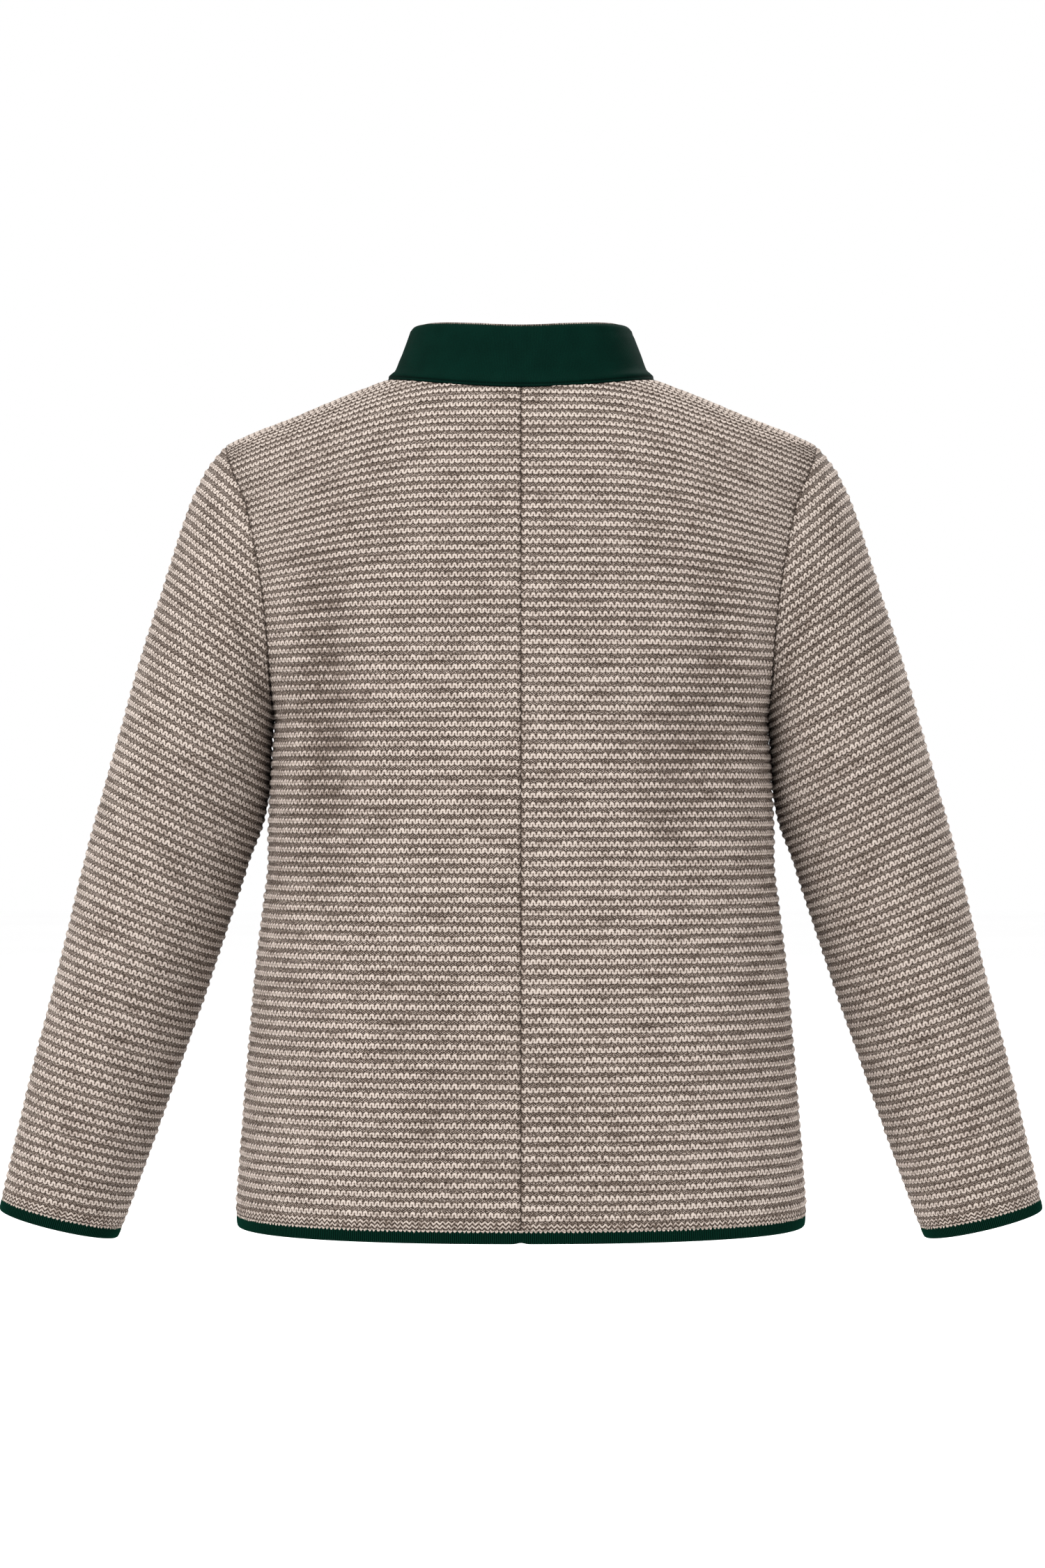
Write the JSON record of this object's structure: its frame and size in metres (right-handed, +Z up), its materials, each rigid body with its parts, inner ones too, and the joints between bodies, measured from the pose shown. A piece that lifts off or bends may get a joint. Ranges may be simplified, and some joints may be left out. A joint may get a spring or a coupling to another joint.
{
  "type": "knitted cardigan",
  "caption": "Chunky ridged knit cardigan in beige and brown with a dark green stand collar, narrow green ribbed edges, set-in sleeves and a buttoned front, filled out as if worn.",
  "frame": {"origin": "middle of the neck opening at the height of the collar seam, over the wearer's shoulders", "axes": "+X towards the wearer's left, +Y towards the wearer's back, +Z up"},
  "size_m": [0.8054, 0.274, 0.6993],
  "materials": {
    "chunky_knit": "ridged melange knit",
    "green_rib": "fine ribbed knit",
    "green_collar_knit": "fine smooth knit",
    "horn": "polished"
  },
  "bodies": {
    "root": {"back_left": "chunky_knit", "front_left": "chunky_knit", "sleeve_left": "chunky_knit", "hem_back_left": "green_rib", "hem_front_left": "green_rib", "cuff_left": "green_rib", "front_band_left": "green_rib", "back_right": "chunky_knit", "front_right": "chunky_knit", "sleeve_right": "chunky_knit", "hem_back_right": "green_rib", "hem_front_right": "green_rib", "cuff_right": "green_rib", "front_band_right": "green_rib", "collar_outer": "green_collar_knit", "collar_inner": "chunky_knit", "button_1": "horn", "button_2": "horn", "button_3": "horn", "button_4": "horn", "button_5": "horn", "button_6": "horn", "button_7": "horn"}
  },
  "joints": []
}
